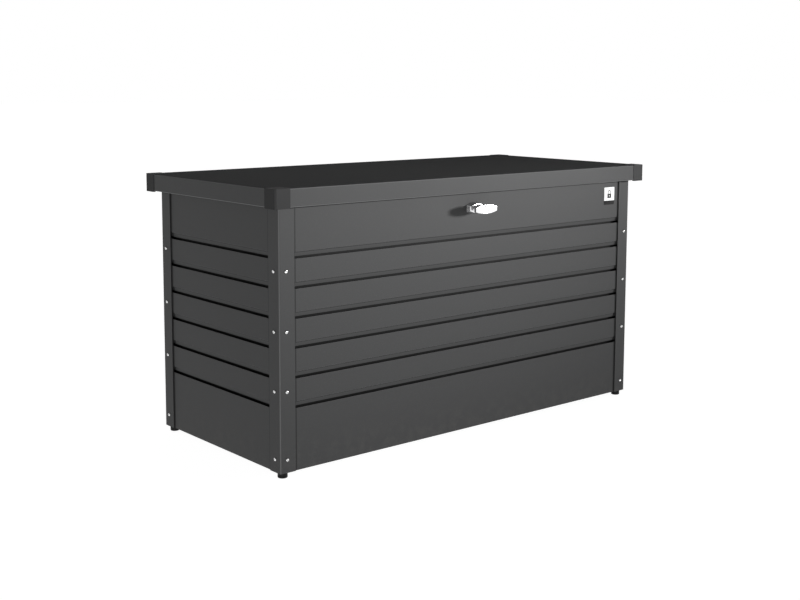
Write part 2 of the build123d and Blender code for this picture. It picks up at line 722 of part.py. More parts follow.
def rack_outline(x0, x1):
    """Rack over the pinion: teeth down to it, and the bar above. One tooth is centred on x = 0."""
    pitch = math.pi * MODULE
    slope = math.tan(math.radians(PRESSURE_DEG))
    tip = PITCH_RADIUS - MODULE + 0.1
    root = PITCH_RADIUS + 1.25 * MODULE
    half = pitch / 4 - BACKLASH / 2
    half_tip = half - (PITCH_RADIUS - tip) * slope
    half_root = half + (root - PITCH_RADIUS) * slope
    points = [(x0, root + RACK_BAR), (x0, root)]
    first = math.ceil((x0 + half_root) / pitch)
    last = math.floor((x1 - half_root) / pitch)
    for n in range(first, last + 1):
        middle = n * pitch
        points += [(middle - half_root, root), (middle - half_tip, tip), (middle + half_tip, tip)]
        points.append((middle + half_root, root))
    points += [(x1, root), (x1, root + RACK_BAR)]
    return make_face(Polyline(*points, close=True))


def rack_z():
    """Height of a rack bar's middle above the spindle."""
    return PITCH_RADIUS + 1.25 * MODULE + RACK_BAR / 2


def rack(x0, x1):
    plane = Plane(origin=(0, ROD_LINE_Y + GEAR_WIDTH / 2, LOCK_Z), x_dir=(1, 0, 0), z_dir=(0, -1, 0))
    return extrude(plane * rack_outline(x0, x1), amount=GEAR_WIDTH)


def right_bolt():
    """Rack above the pinion and locking bolt in one piece."""
    return rack(-RACK_INNER_END, RIGHT_RACK_END) + bolt_rod(1, RIGHT_RACK_END - BOLT_RADIUS)


def left_bolt():
    """Rack below the pinion, stepped up outside the lock case to its locking bolt."""
    upright = Pos(0, 0, LOCK_Z) * Rot(0, 180, 0) * Pos(0, 0, -LOCK_Z) * rack(-RACK_INNER_END, LEFT_RACK_END)
    half = GEAR_WIDTH / 2
    low = LOCK_Z - rack_z() - RACK_BAR / 2
    high = LOCK_Z + rack_z() + half
    end = -LEFT_RACK_END - half
    upright += block(end, end + GEAR_WIDTH, ROD_LINE_Y - half, ROD_LINE_Y + half, low, high)
    return upright + bolt_rod(-1, LEFT_RACK_END - half)


def bolt_rod(side, start):
    """The round bolt from its rack out to a chamfered tip."""
    rod = rod_x(BOLT_RADIUS, side * start, side * BOLT_TIP_X, ROD_LINE_Y, LOCK_Z + rack_z())
    end = rod.edges().filter_by(GeomType.CIRCLE).sort_by(lambda e: side * e.center().X)[-1]
    return chamfer(end, 1.5)


def lock_case():
    """Box behind the front wall, open at both ends for the racks."""
    half = rack_z() + BOLT_RADIUS + 1
    length = CASE_HALF_LENGTH
    y0 = -FACE_Y + SHEET
    y1 = ROD_LINE_Y + SPINDLE_TAIL - 3
    case = block(-length, length, y0, y1, LOCK_Z - half - CASE_WALL, LOCK_Z + half + CASE_WALL)
    hollow = (y0 + CASE_WALL, y1 - CASE_WALL, LOCK_Z - half, LOCK_Z + half)
    case -= block(-length - 1, length + 1, *hollow)
    return case - rod_y(SPINDLE_RADIUS + RUNNING, y0 - 1, y1 + 1, 0, LOCK_Z)


def bolt_guides():
    """Two blocks on the front wall that steady the bolts beside their keepers."""
    height = LOCK_Z + rack_z()
    y1 = ROD_LINE_Y + GEAR_WIDTH
    guides = []
    for side in (-1, 1):
        near, far = sorted((side * GUIDE_NEAR, side * GUIDE_FAR))
        guide = block(near, far, -FACE_Y + SHEET, y1, height - GUIDE_HALF, height + GUIDE_HALF)
        guides.append(guide - rod_x(BOLT_RADIUS + RUNNING, near - 1, far + 1, ROD_LINE_Y, height))
    return guides


def keeper(side):
    """Plate that hangs from the lid, with the hole that takes a bolt."""
    height = LOCK_Z + rack_z()
    x0 = side * KEEPER_X
    x1 = side * (KEEPER_X + KEEPER_THICK)
    y0 = ROD_LINE_Y - KEEPER_FRONT
    y1 = ROD_LINE_Y + KEEPER_REAR
    plate = block(x0, x1, y0, y1, height - KEEPER_REAR - 1, LID_UNDER)
    plate += block(x0, side * (KEEPER_X + KEEPER_FLANGE), y0, y1, LID_UNDER - BRACKET_THICK, LID_UNDER)
    low, high = sorted((x0, x1))
    return plate - rod_x(KEEPER_HOLE, low - 1, high + 1, ROD_LINE_Y, height)


# ---- small parts

def label_plate():
    right = HALF_X - LABEL_INSET
    face = -FACE_Y - LABEL_THICK
    return block(right - LABEL_WIDTH, right, face, -FACE_Y, LABEL_TOP - LABEL_HEIGHT, LABEL_TOP)


def post_screw():
    """Domed screw along +Y with its nut; y = 0 is under the head, which stands towards -Y."""
    head = rod_y(SCREW_HEAD_RADIUS, -SCREW_HEAD_HEIGHT, 0, 0, 0)
    head = fillet(head.edges().group_by(Axis.Y)[0], 2.0)
    clamped = POST_THICK + SHEET
    shank = rod_y(SCREW_RADIUS, 0, clamped + SCREW_TAIL, 0, 0)
    seat = Plane(origin=(0, clamped, 0), z_dir=(0, 1, 0))
    nut = extrude(seat * RegularPolygon(NUT_RADIUS, 6), amount=NUT_THICK)
    return head + shank + nut


def post_screws():
    screw = post_screw()
    screws = []
    for z in SCREW_ROWS:
        for side in (-1, 1):
            x = side * (HALF_X - SCREW_INSET)
            y = side * (HALF_Y - SIDE_SCREW_INSET)
            screws.append(Pos(x, -HALF_Y, z) * screw)
            screws.append(Pos(x, HALF_Y, z) * Rot(0, 0, 180) * screw)
            screws.append(Pos(HALF_X, y, z) * Rot(0, 0, 90) * screw)
            screws.append(Pos(-HALF_X, y, z) * Rot(0, 0, -90) * screw)
    return screws


def hinge_screws_body():
    """Screws through the body leaf and the rear wall."""
    face = FACE_Y + LEAF_THICK
    screws = []
    for x in (-HINGE_X, HINGE_X):
        for sx, sz in leaf_screw_places(x):
            head = rod_y(LOW_HEAD_RADIUS, face, face + LOW_HEAD, sx, sz)
            screws.append(head + rod_y(SCREW_RADIUS, FACE_Y - SHEET - 2, face, sx, sz))
    return screws


def hinge_screws_lid():
    """Screws up through the lid leaf and the rear rim's flange."""
    under = LID_UNDER - RIM_SHEET - LEAF_THICK
    screws = []
    for x in lid_screw_places():
        head = rod_z(LOW_HEAD_RADIUS, under - LOW_HEAD, under, x, LID_SCREW_Y)
        screws.append(head + rod_z(SCREW_RADIUS, under, LID_UNDER, x, LID_SCREW_Y))
    return screws


def main():
    os.makedirs("parts", exist_ok=True)
    sides = {"left": -1, "right": 1}
    ends = {"front": -1, "rear": 1}
    for end, side_y in ends.items():
        for hand, side_x in sides.items():
            save(post(side_x, side_y), f"post_{end}_{hand}")
            save(foot(side_x, side_y), f"foot_{end}_{hand}")
            save(corner_cap(side_x, side_y), f"lid_cap_{end}_{hand}")
        save(floor_beam(side_y), f"floor_beam_{end}")
        save(long_rail(side_y), f"top_rail_{end}")
    save(front_wall(), "wall_front")
    save(rear_wall(), "wall_rear")
    save(floor_panel(), "floor_panel")
    save_group(lid_seal(), "lid_seal")
    save(lid_top(), "lid_top")
    save(rim_front(), "lid_rim_front")
    save(rim_rear(), "lid_rim_rear")
    for hand, side in sides.items():
        save(side_wall(side), f"wall_{hand}")
        save(short_rail(side), f"top_rail_{hand}")
        save(rim_side(side), f"lid_rim_{hand}")
        save(lid_stiffener(side), f"lid_stiffener_{hand}")
        save(hinge_body_leaf(side * HINGE_X), f"hinge_body_leaf_{hand}")
        save(hinge_lid_leaf(side * HINGE_X), f"hinge_lid_leaf_{hand}")
        save(hinge_pin(side * HINGE_X), f"hinge_pin_{hand}")
        save(strut_bracket(side), f"strut_bracket_{hand}")
        save(lid_strut_bracket(side), f"lid_strut_bracket_{hand}")
        save(strut_cylinder(side), f"strut_cylinder_{hand}")
        save(strut_rod(side), f"strut_rod_{hand}")
        save(keeper(side), f"keeper_{hand}")
    save(handle(), "handle")
    save(lock_plug(), "lock_plug")
    save(escutcheon(), "escutcheon")
    save(pinion(), "pinion")
    save(left_bolt(), "bolt_left")
    save(right_bolt(), "bolt_right")
    save(lock_case(), "lock_case")
    save_group(bolt_guides(), "bolt_guides")
    save(label_plate(), "label_plate")
    save_group(post_screws(), "post_screws")
    save_group(hinge_screws_body(), "hinge_screws_body")
    save_group(hinge_screws_lid(), "hinge_screws_lid")


main()
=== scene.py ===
import json
import math

import bmesh
import bpy
from mathutils import Matrix, Vector


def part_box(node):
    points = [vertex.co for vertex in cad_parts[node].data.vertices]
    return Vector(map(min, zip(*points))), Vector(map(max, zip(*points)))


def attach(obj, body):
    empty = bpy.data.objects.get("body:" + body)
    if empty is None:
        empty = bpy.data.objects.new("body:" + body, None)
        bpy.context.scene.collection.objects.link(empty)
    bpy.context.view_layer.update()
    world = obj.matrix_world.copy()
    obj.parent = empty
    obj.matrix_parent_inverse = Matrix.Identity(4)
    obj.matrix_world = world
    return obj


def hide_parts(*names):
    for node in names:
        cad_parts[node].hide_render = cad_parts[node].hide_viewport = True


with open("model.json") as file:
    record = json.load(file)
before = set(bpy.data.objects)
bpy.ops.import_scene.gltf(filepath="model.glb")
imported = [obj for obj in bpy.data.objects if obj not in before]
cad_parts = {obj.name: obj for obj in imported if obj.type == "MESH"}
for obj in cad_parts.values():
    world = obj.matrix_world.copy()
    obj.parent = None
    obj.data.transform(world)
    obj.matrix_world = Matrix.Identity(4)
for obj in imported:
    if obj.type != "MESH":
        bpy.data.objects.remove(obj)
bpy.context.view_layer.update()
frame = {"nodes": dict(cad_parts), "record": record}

MM = 0.001
FOLD_CONTRAST = 5.0


# ---- shader maths

class Value:
    """A node's output used in an expression: each operator adds its Math node."""

    def __init__(self, tree, socket):
        self.tree = tree
        self.socket = socket

    def math(self, operation, first, second=0.0):
        step = self.tree.nodes.new("ShaderNodeMath")
        step.operation = operation
        for slot, value in zip(step.inputs, (first, second)):
            plug(self.tree, slot, value)
        return Value(self.tree, step.outputs[0])

    def __add__(self, other):
        return self.math("ADD", self, other)

    def __radd__(self, other):
        return self.math("ADD", other, self)

    def __sub__(self, other):
        return self.math("SUBTRACT", self, other)

    def __rsub__(self, other):
        return self.math("SUBTRACT", other, self)

    def __mul__(self, other):
        return self.math("MULTIPLY", self, other)

    def __rmul__(self, other):
        return self.math("MULTIPLY", other, self)

    def __truediv__(self, other):
        return self.math("DIVIDE", self, other)

    def __gt__(self, other):
        return self.math("GREATER_THAN", self, other)

    def __lt__(self, other):
        return self.math("LESS_THAN", self, other)

    def size(self):
        return self.math("ABSOLUTE", self)

    def root(self):
        return self.math("SQRT", self)

    def least(self, other):
        return self.math("MINIMUM", self, other)

    def most(self, other):
        return self.math("MAXIMUM", self, other)

    def clip(self):
        return self.least(1.0).most(0.0)


def plug(tree, slot, value):
    """Link an output to an input, or set the input to a plain value."""
    if isinstance(value, Value):
        tree.links.new(value.socket, slot)
    else:
        slot.default_value = value


def set_stops(ramp, stops):
    """Grey stops of a ramp, as (position, grey)."""
    while len(ramp.elements) < len(stops):
        ramp.elements.new(1.0)
    for element, (position, grey) in zip(ramp.elements, stops):
        element.position = position
        element.color = (grey, grey, grey, 1.0)


class Nodes:
    """A node tree to which node() adds one node of any kind and returns one of its outputs."""

    def __init__(self, tree):
        self.tree = tree

    def node(self, kind, settings=None, inputs=None, out=0):
        made = self.tree.nodes.new(kind)
        for name, value in (settings or {}).items():
            if name == "stops":
                set_stops(made.color_ramp, value)
            else:
                setattr(made, name, value)
        for name, value in (inputs or {}).items():
            plug(self.tree, made.inputs[name], value)
        return Value(self.tree, made.outputs[out])

    def ramp(self, value, *stops):
        return self.node("ShaderNodeValToRGB", {"stops": stops}, {"Fac": value})


class Finish(Nodes):
    """A material with one Principled shader."""

    def __init__(self, name, **constants):
        self.material = bpy.data.materials.new(name)
        self.material.use_nodes = True
        super().__init__(self.material.node_tree)
        self.shader = self.tree.nodes["Principled BSDF"]
        for socket, value in constants.items():
            self.shader.inputs[socket.replace("_", " ")].default_value = value
        self.place = self.node("ShaderNodeTexCoord", out="Object")
        self.facing = self.node("ShaderNodeTexCoord", out="Normal")

    def noise(self, scale, detail=3.0, rough=0.5):
        inputs = {"Vector": self.place, "Scale": scale, "Detail": detail, "Roughness": rough}
        return self.node("ShaderNodeTexNoise", {}, inputs)

    def cells(self, scale, out="Distance"):
        return self.node("ShaderNodeTexVoronoi", {}, {"Vector": self.place, "Scale": scale}, out)

    def cell_tone(self, scale):
        """A different grey in each cell."""
        return self.node("ShaderNodeRGBToBW", {}, {"Color": self.cells(scale, "Color")})

    def axis(self, letter):
        return self.node("ShaderNodeSeparateXYZ", {}, {"Vector": self.place}, letter)

    def mix(self, amount, first, second):
        inputs = {0: amount, 6: first, 7: second}
        return self.node("ShaderNodeMix", {"data_type": "RGBA"}, inputs, 2)

    def turned(self):
        """How far the surface has turned away from all three axes: 0 on flats, towards 1 on folds."""
        parts = [self.node("ShaderNodeSeparateXYZ", {}, {"Vector": self.facing}, letter).size()
                 for letter in "XYZ"]
        flattest = parts[0].most(parts[1]).most(parts[2])
        return ((1.0 - flattest) * FOLD_CONTRAST).clip()

    def bump(self, height, distance, strength):
        inputs = {"Height": height, "Distance": distance, "Strength": strength}
        return self.node("ShaderNodeBump", {}, inputs, "Normal")

    def feed(self, **sockets):
        for socket, value in sockets.items():
            plug(self.tree, self.shader.inputs[socket.replace("_", " ")], value)
        return self.material


def tint(colour, factor):
    return tuple(part * factor for part in colour) + (1.0,)


# ---- finishes

ANTHRACITE = (0.0520, 0.0525, 0.0530)
POST_WIDTH = 45.0 * MM
SHADE_BAND = 6.0 * MM
PAINTED_SHADE_REACH = 20.0 * MM
# painted shade by depth: slat faces bare, a painted shadow line at the head of the recess, lighter
# painted shade on the recessed face, near black painted shade in the slot; depth as a share of the reach
# above
PAINTED_SHADE_BY_DEPTH = (
    (0.0, 1.0), (0.165, 1.0),
    (0.20, 0.42), (0.315, 0.42),
    (0.33, 0.86), (0.40, 0.80),
    (0.43, 0.03), (1.0, 0.03),
)


def painted_shade(coat):
    """Painted shade: darkening painted into the colour in the grooves (a painted shadow line at the head
    of each recess, near black in the slots), painted shadow lines along the posts' inner edges, and a
    painted shadow from just under the lid's rim up to the top, most of which the rim covers while the lid
    is shut."""
    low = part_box("post_front_left")[0]
    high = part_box("post_rear_right")[1]
    from_ends = high.x - coat.axis("X").size()
    from_sides = (high.y - low.y) / 2 - (coat.axis("Y") - (high.y + low.y) / 2).size()
    depth = from_ends.least(from_sides)
    groove_shade = coat.ramp(depth / PAINTED_SHADE_REACH, *PAINTED_SHADE_BY_DEPTH)
    # painted shadow lines on the wall along the posts' inner edges, and a painted shadow band from just
    # under the rim
    seam = line_at(from_ends, POST_WIDTH, SHADE_BAND) + line_at(from_sides, POST_WIDTH, SHADE_BAND)
    under_rim_shadow = coat.axis("Z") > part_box("lid_rim_front")[0].z - SHADE_BAND
    return groove_shade * (1.0 - (seam * 0.5 + under_rim_shadow * 0.75).clip())


def line_at(distance, start, width):
    """1 on a strip that begins at a distance."""
    return (distance > start) * (distance < start + width)


def powder_coat(name, shade, rough=0.56, specular=0.12, with_painted_shade=False):
    """Satin powder coat: metallic fleck, orange peel, slow changes of tone, a painted highlight on the
    folds, a little dust at the foot, and painted shade where asked. Faces that look up are duller."""
    coat = Finish(name, Specular_IOR_Level=specular)
    colour = tint(ANTHRACITE, shade)[:3]
    slow = coat.noise(2.6, 3.0)
    peel = coat.noise(520.0, 2.0, 0.6)
    sparkle = coat.ramp(coat.cell_tone(1400.0), (0.0, 0.0), (0.76, 0.0), (0.92, 1.0))
    ground = coat.mix(slow, tint(colour, 0.94), tint(colour, 1.06))
    flecked = coat.mix(sparkle * 0.12, ground, tint(colour, 3.6))
    dust_line = (1.0 - coat.axis("Z") / 0.11).clip()
    dust = dust_line * coat.ramp(coat.noise(38.0, 5.0, 0.65), (0.45, 0.0), (0.75, 1.0))
    # painted highlight: folds and rounded edges are made paler in the colour
    painted_highlight = coat.mix(coat.turned(), flecked, tint(colour, 3.0))
    # real dust at the foot, mixed over the painted highlight
    dust_and_painted_light = coat.mix(dust * 0.16, painted_highlight, (0.20, 0.19, 0.175, 1.0))
    upward = coat.node("ShaderNodeSeparateXYZ", {}, {"Vector": coat.facing}, "Z")
    settled = coat.ramp(upward, (0.90, 0.0), (0.99, 1.0))
    gloss = rough + (slow - 0.5) * 0.12 + dust * 0.2 + settled * 0.34
    relief = coat.bump(peel, 0.00010, 0.5)
    if with_painted_shade:
        # painted shade: the grooves, the posts' inner edges and the band under the rim are darkened in
        # the colour
        dust_and_painted_light = coat.mix(painted_shade(coat), (0.002, 0.002, 0.002, 1.0), dust_and_painted_light)
    return coat.feed(Base_Color=dust_and_painted_light, Roughness=gloss, Normal=relief)


def moulded_plastic(name, colour, rough=0.55, specular=0.12):
    """Moulded plastic with a spark-eroded grain and a painted highlight on its rounded corners."""
    mould = Finish(name, Specular_IOR_Level=specular)
    grain = mould.noise(1500.0, 2.0, 0.7)
    slow = mould.noise(16.0, 2.0)
    ground = mould.mix(slow, tint(colour, 0.88), tint(colour, 1.12))
    # painted highlight: rounded corners are made paler in the colour
    painted_highlight = mould.mix(mould.turned(), ground, tint(colour, 2.8))
    relief = mould.bump(grain, 0.00008, 0.6)
    return mould.feed(Base_Color=painted_highlight, Roughness=rough + (grain - 0.5) * 0.2, Normal=relief)


def bright_metal(name, colour, rough):
    """Plated or drawn metal: a polish that varies a little, and faint lines."""
    plate = Finish(name, Metallic=1.0)
    smear = plate.noise(60.0, 4.0)
    ground = plate.mix(smear, tint(colour, 0.93), tint(colour, 1.04))
    relief = plate.bump(plate.noise(2200.0, 2.0), 0.00001, 0.4)
    return plate.feed(Base_Color=ground, Roughness=rough + (smear - 0.5) * 0.14, Normal=relief)


def zinc_plate(name, colour):
    """Zinc plate: crystals that differ in tone and gloss."""
    plate = Finish(name, Metallic=0.9)
    crystal = plate.cell_tone(170.0)
    ground = plate.mix(crystal, tint(colour, 0.8), tint(colour, 1.12))
    return plate.feed(Base_Color=ground, Roughness=0.34 + crystal * 0.16)


def foam_rubber(name, colour):
    """Closed-cell foam with fine pores."""
    foam = Finish(name, Specular_IOR_Level=0.2)
    pores = foam.cells(900.0)
    ground = foam.mix(pores, tint(colour, 0.7), tint(colour, 1.6))
    relief = foam.bump(pores, 0.0002, 0.7)
    return foam.feed(Base_Color=ground, Roughness=0.8 + (pores - 0.5) * 0.1, Normal=relief)


def padlock_mark(film, across, up):
    """1 on a simple padlock: a body, and a shackle with straight legs above it. Distances in metres."""
    body = (across.size() < 8.5 * MM) * (up.size() < 6.5 * MM)
    keyhole = (across * across + up * up).root() < 1.8 * MM
    over = up - 10.5 * MM
    reach = (across * across + over * over).root()
    ring = (reach < 6.5 * MM) * (reach > 4.2 * MM) * (over > 0.0)
    leg = (across.size() > 4.2 * MM) * (across.size() < 6.5 * MM) * (over < 0.0001) * (up > 6.0 * MM)
    return (body - keyhole * body + ring + leg).clip()


def printed_film(name):
    """Label film: a white field with a padlock, above a black band."""
    film = Finish(name, Specular_IOR_Level=0.12)
    low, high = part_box("label_plate")
    up = film.axis("Z")
    field = up > low.z + 12.0 * MM
    across = film.axis("X") - (low.x + high.x) / 2
    mark = padlock_mark(film, across, up - (low.z + 26.0 * MM))
    mottle = film.noise(900.0, 2.0)
    white = film.mix(mottle, (0.80, 0.80, 0.80, 1.0), (0.90, 0.90, 0.90, 1.0))
    ink = (0.010, 0.010, 0.010, 1.0)
    printed = film.mix(mark * field, film.mix(field, ink, white), (0.03, 0.03, 0.03, 1.0))
    return film.feed(Base_Color=printed, Roughness=0.55 + (mottle - 0.5) * 0.1)


FINISHES = {
    # the body's coat carries the painted shade in its grooves, along its posts and under the rim
    "body_paint": powder_coat("body_paint", 1.0, with_painted_shade=True),
    "lid_paint": powder_coat("lid_paint", 1.0),
    "hinge_paint": powder_coat("hinge_paint", 0.85),
    "cap_plastic": moulded_plastic("cap_plastic", (0.0195, 0.0195, 0.020)),
    "foot_plastic": moulded_plastic("foot_plastic", (0.006, 0.006, 0.006), 0.45),
    "chrome": bright_metal("chrome", (0.88, 0.88, 0.89), 0.22),
    "chrome_rod": bright_metal("chrome_rod", (0.72, 0.72, 0.74), 0.12),
    "stainless": bright_metal("stainless", (0.80, 0.80, 0.80), 0.26),
    "zinc_steel": zinc_plate("zinc_steel", (0.55, 0.56, 0.58)),
    "seal_rubber": foam_rubber("seal_rubber", (0.012, 0.012, 0.012)),
    "label_film": printed_film("label_film"),
    "strut_black": moulded_plastic("strut_black", (0.010, 0.010, 0.010), 0.3, 0.5),
}


def dress_frame():
    """Every CAD node gets the finish of its record slot."""
    for part in frame["record"]["subparts"]:
        shape = frame["nodes"][part["node"]]
        shape.data.materials.clear()
        shape.data.materials.append(FINISHES[part["material_slot"]])


# ---- making pieces

def keep(shape, name, body, slot, *nodes):
    """Finish a bmesh as a piece: doubles merged, faces outwards, smooth with its sharp edges kept."""
    bmesh.ops.remove_doubles(shape, verts=shape.verts, dist=1e-6)
    bmesh.ops.recalc_face_normals(shape, faces=shape.faces)
    data = bpy.data.meshes.new(name)
    shape.to_mesh(data)
    shape.free()
    data.polygons.foreach_set("use_smooth", [True] * len(data.polygons))
    data.set_sharp_from_angle(angle=math.radians(38))
    data.materials.append(FINISHES[slot])
    piece = bpy.data.objects.new(name, data)
    bpy.context.scene.collection.objects.link(piece)
    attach(piece, body)
    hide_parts(*nodes)
    return piece


def circle_at(radius):
    return lambda turn: (radius * math.cos(turn), radius * math.sin(turn))


def hexagon_at(radius):
    """A six-sided socket, across its corners."""
    def point(turn):
        off = (turn + math.pi / 6) % (math.pi / 3) - math.pi / 6
        reach = radius * math.cos(math.pi / 6) / math.cos(off)
        return reach * math.cos(turn), reach * math.sin(turn)
    return point


FULL_BOW = 0.93    # share of a lens outline's turn that is bowed; the rest is its square end


def lens_at(length, height, end, inset=0.0):
    """A bar outline bowed above and below and cut square at both ends."""
    half = length / 2 - inset
    def point(turn):
        across = math.cos(turn) / FULL_BOW
        bow = (end + (height - end) * (1 - min(1.0, across * across))) / 2 - inset
        if abs(across) >= 1:
            return math.copysign(half, across), bow * math.sin(turn) / math.sin(math.acos(FULL_BOW))
        return half * across, math.copysign(bow, math.sin(turn))
    return point


def sleeve(stations, around=48, closed=True):
    """A skin through outlines stacked on Z. Each station is (height, outline); the ends are closed,
    or joined to each other where closed is False."""
    shape = bmesh.new()
    bmesh.ops.create_circle(shape, cap_ends=closed, radius=1.0, segments=around)
    ring = sorted(shape.verts, key=lambda v: math.atan2(v.co.y, v.co.x))
    turns = [math.atan2(v.co.y, v.co.x) for v in ring]
    first = list(shape.edges)
    edges = first
    set_ring(ring, turns, *stations[0])
    for height, outline in stations[1:]:
        grown = bmesh.ops.extrude_edge_only(shape, edges=edges)["geom"]
        edges = [g for g in grown if isinstance(g, bmesh.types.BMEdge) and g.verts[0] not in ring
                 and g.verts[1] not in ring]
        ring = follow_ring(ring, grown)
        set_ring(ring, turns, height, outline)
    if closed:
        bmesh.ops.contextual_create(shape, geom=edges)
    else:
        bmesh.ops.bridge_loops(shape, edges=first + edges)
    return shape


def follow_ring(ring, grown):
    """The new ring's vertices in the order of the old ones, each still lying on its old one."""
    fresh = [g for g in grown if isinstance(g, bmesh.types.BMVert)]
    return [min(fresh, key=lambda v: (v.co - old.co).length_squared) for old in ring]


def set_ring(ring, turns, height, outline):
    for vert, turn in zip(ring, turns):
        x, y = outline(turn)
        vert.co = (x, y, height)


def bar(low, high, offset, segments, pick):
    """A box between two corners, with the edges that pick() chooses rounded."""
    shape = bmesh.new()
    size = Vector(high) - Vector(low)
    bmesh.ops.create_cube(shape, size=1.0)
    bmesh.ops.scale(shape, vec=size, verts=shape.verts)
    bmesh.ops.translate(shape, vec=(Vector(low) + Vector(high)) / 2, verts=shape.verts)
    edges = [e for e in shape.edges if pick(e)]
    bmesh.ops.bevel(shape, geom=edges, offset=offset, offset_type="OFFSET", segments=segments,
                    profile=0.5, affect="EDGES", material=-1)
    return shape


def add_copy(target, source, matrix):
    """Add a moved copy of one bmesh to another."""
    data = bpy.data.meshes.new("copy")
    source.to_mesh(data)
    data.transform(matrix)
    target.from_mesh(data)
    bpy.data.meshes.remove(data)


def facing(place, direction):
    """A matrix that takes a part made along +Z to a place, with its top towards a direction."""
    turn = Vector(direction).to_track_quat("Z", "Y").to_matrix().to_4x4()
    return Matrix.Translation(place) @ turn


# ---- screws

POST_ROWS = (0.0480, 0.2162, 0.3630, 0.5098)
LEAF_SCREW_X = (-0.468, -0.412, 0.412, 0.468)
LEAF_SCREW_Z = (0.626, 0.652)
LEAF_SHEET = 3.0 * MM
SCREW_INSET = 20.0 * MM
SIDE_SCREW_INSET = 22.0 * MM


def screw(head, rise, shank, length):
    """A domed socket screw, its head's underside on z = 0."""
    return sleeve([
        (rise - 1.5 * MM, hexagon_at(1.75 * MM)),
        (rise - 0.1 * MM, hexagon_at(1.75 * MM)),
        (rise, hexagon_at(1.9 * MM)),
        (rise, circle_at(2.3 * MM)),
        (rise * 0.93, circle_at(head * 0.72)),
        (rise * 0.72, circle_at(head * 0.88)),
        (rise * 0.42, circle_at(head * 0.97)),
        (rise * 0.16, circle_at(head)),
        (0.0, circle_at(head * 0.98)),
        (0.0, circle_at(shank)),
        (0.3 * MM - length, circle_at(shank)),
        (-length, circle_at(shank * 0.8)),
    ], around=24)


def nut(inner):
    """A six-sided nut with turned corners, its near face on z = -inner."""
    top = -inner
    return sleeve([
        (top, circle_at(3.7 * MM)),
        (top - 0.4 * MM, hexagon_at(4.4 * MM)),
        (top - 2.6 * MM, hexagon_at(4.4 * MM)),
        (top - 3.0 * MM, circle_at(3.7 * MM)),
    ], around=24)


def post_screw_places():
    """Place and outward direction of each screw in the corner posts."""
    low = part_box("post_front_left")[0]
    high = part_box("post_rear_right")[1]
    places = []
    for z in POST_ROWS:
        for x in (low.x + SCREW_INSET, high.x - SCREW_INSET):
            places += [((x, low.y, z), (0, -1, 0)), ((x, high.y, z), (0, 1, 0))]
        for y in (low.y + SIDE_SCREW_INSET, high.y - SIDE_SCREW_INSET):
            places += [((low.x, y, z), (-1, 0, 0)), ((high.x, y, z), (1, 0, 0))]
    return places


def make_post_screws():
    screws = bmesh.new()
    bolt = screw(4.4 * MM, 2.6 * MM, 2.4 * MM, 8.0 * MM)
    back = nut(4.0 * MM)
    for place, direction in post_screw_places():
        add_copy(screws, bolt, facing(place, direction))
        add_copy(screws, back, facing(place, direction))
    keep(screws, "post_screw_set", "chest", "stainless", "post_screws")


def make_hinge_screws():
    """Leaf screws on the rear wall, and those up through the lid leaves."""
    head = 4.2 * MM
    wall_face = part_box("hinge_body_leaf_left")[0].y + LEAF_SHEET
    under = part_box("hinge_lid_leaf_left")[1].z - LEAF_SHEET
    lid_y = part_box("hinge_screws_lid")[0].y + head
    leaf_screw = screw(head, 2.2 * MM, 2.4 * MM, 6.0 * MM)
    lid_screw = screw(head, 2.2 * MM, 2.4 * MM, 4.2 * MM)
    on_wall = bmesh.new()
    on_lid = bmesh.new()
    for x in LEAF_SCREW_X:
        for z in LEAF_SCREW_Z:
            add_copy(on_wall, leaf_screw, facing((x, wall_face, z), (0, 1, 0)))
        add_copy(on_lid, lid_screw, facing((x, lid_y, under), (0, 0, -1)))
    keep(on_wall, "hinge_screw_set_body", "chest", "stainless", "hinge_screws_body")
    keep(on_lid, "hinge_screw_set_lid", "lid", "stainless", "hinge_screws_lid")


# ---- handle and rosette

def to_front(shape, front):
    """Turn a part made with its front up, to stand with its front towards -Y at the lock's height."""
    turn = Matrix.Translation((0.0, front, LOCK_Z)) @ Matrix.Rotation(math.radians(90), 4, "X")
    bmesh.ops.transform(shape, matrix=turn, verts=shape.verts)
    return shape


LOCK_Z = (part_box("handle")[0].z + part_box("handle")[1].z) / 2
GRIP = (78.0 * MM, 25.5 * MM, 13.0 * MM)
GRIP_FOOT = (48.4 * MM, 20.4 * MM, 11.7 * MM)
ROSETTE_BASE = (60.0 * MM, 33.0 * MM, 19.0 * MM)
ROSETTE_CROWN = (52.0 * MM, 27.0 * MM, 15.0 * MM)


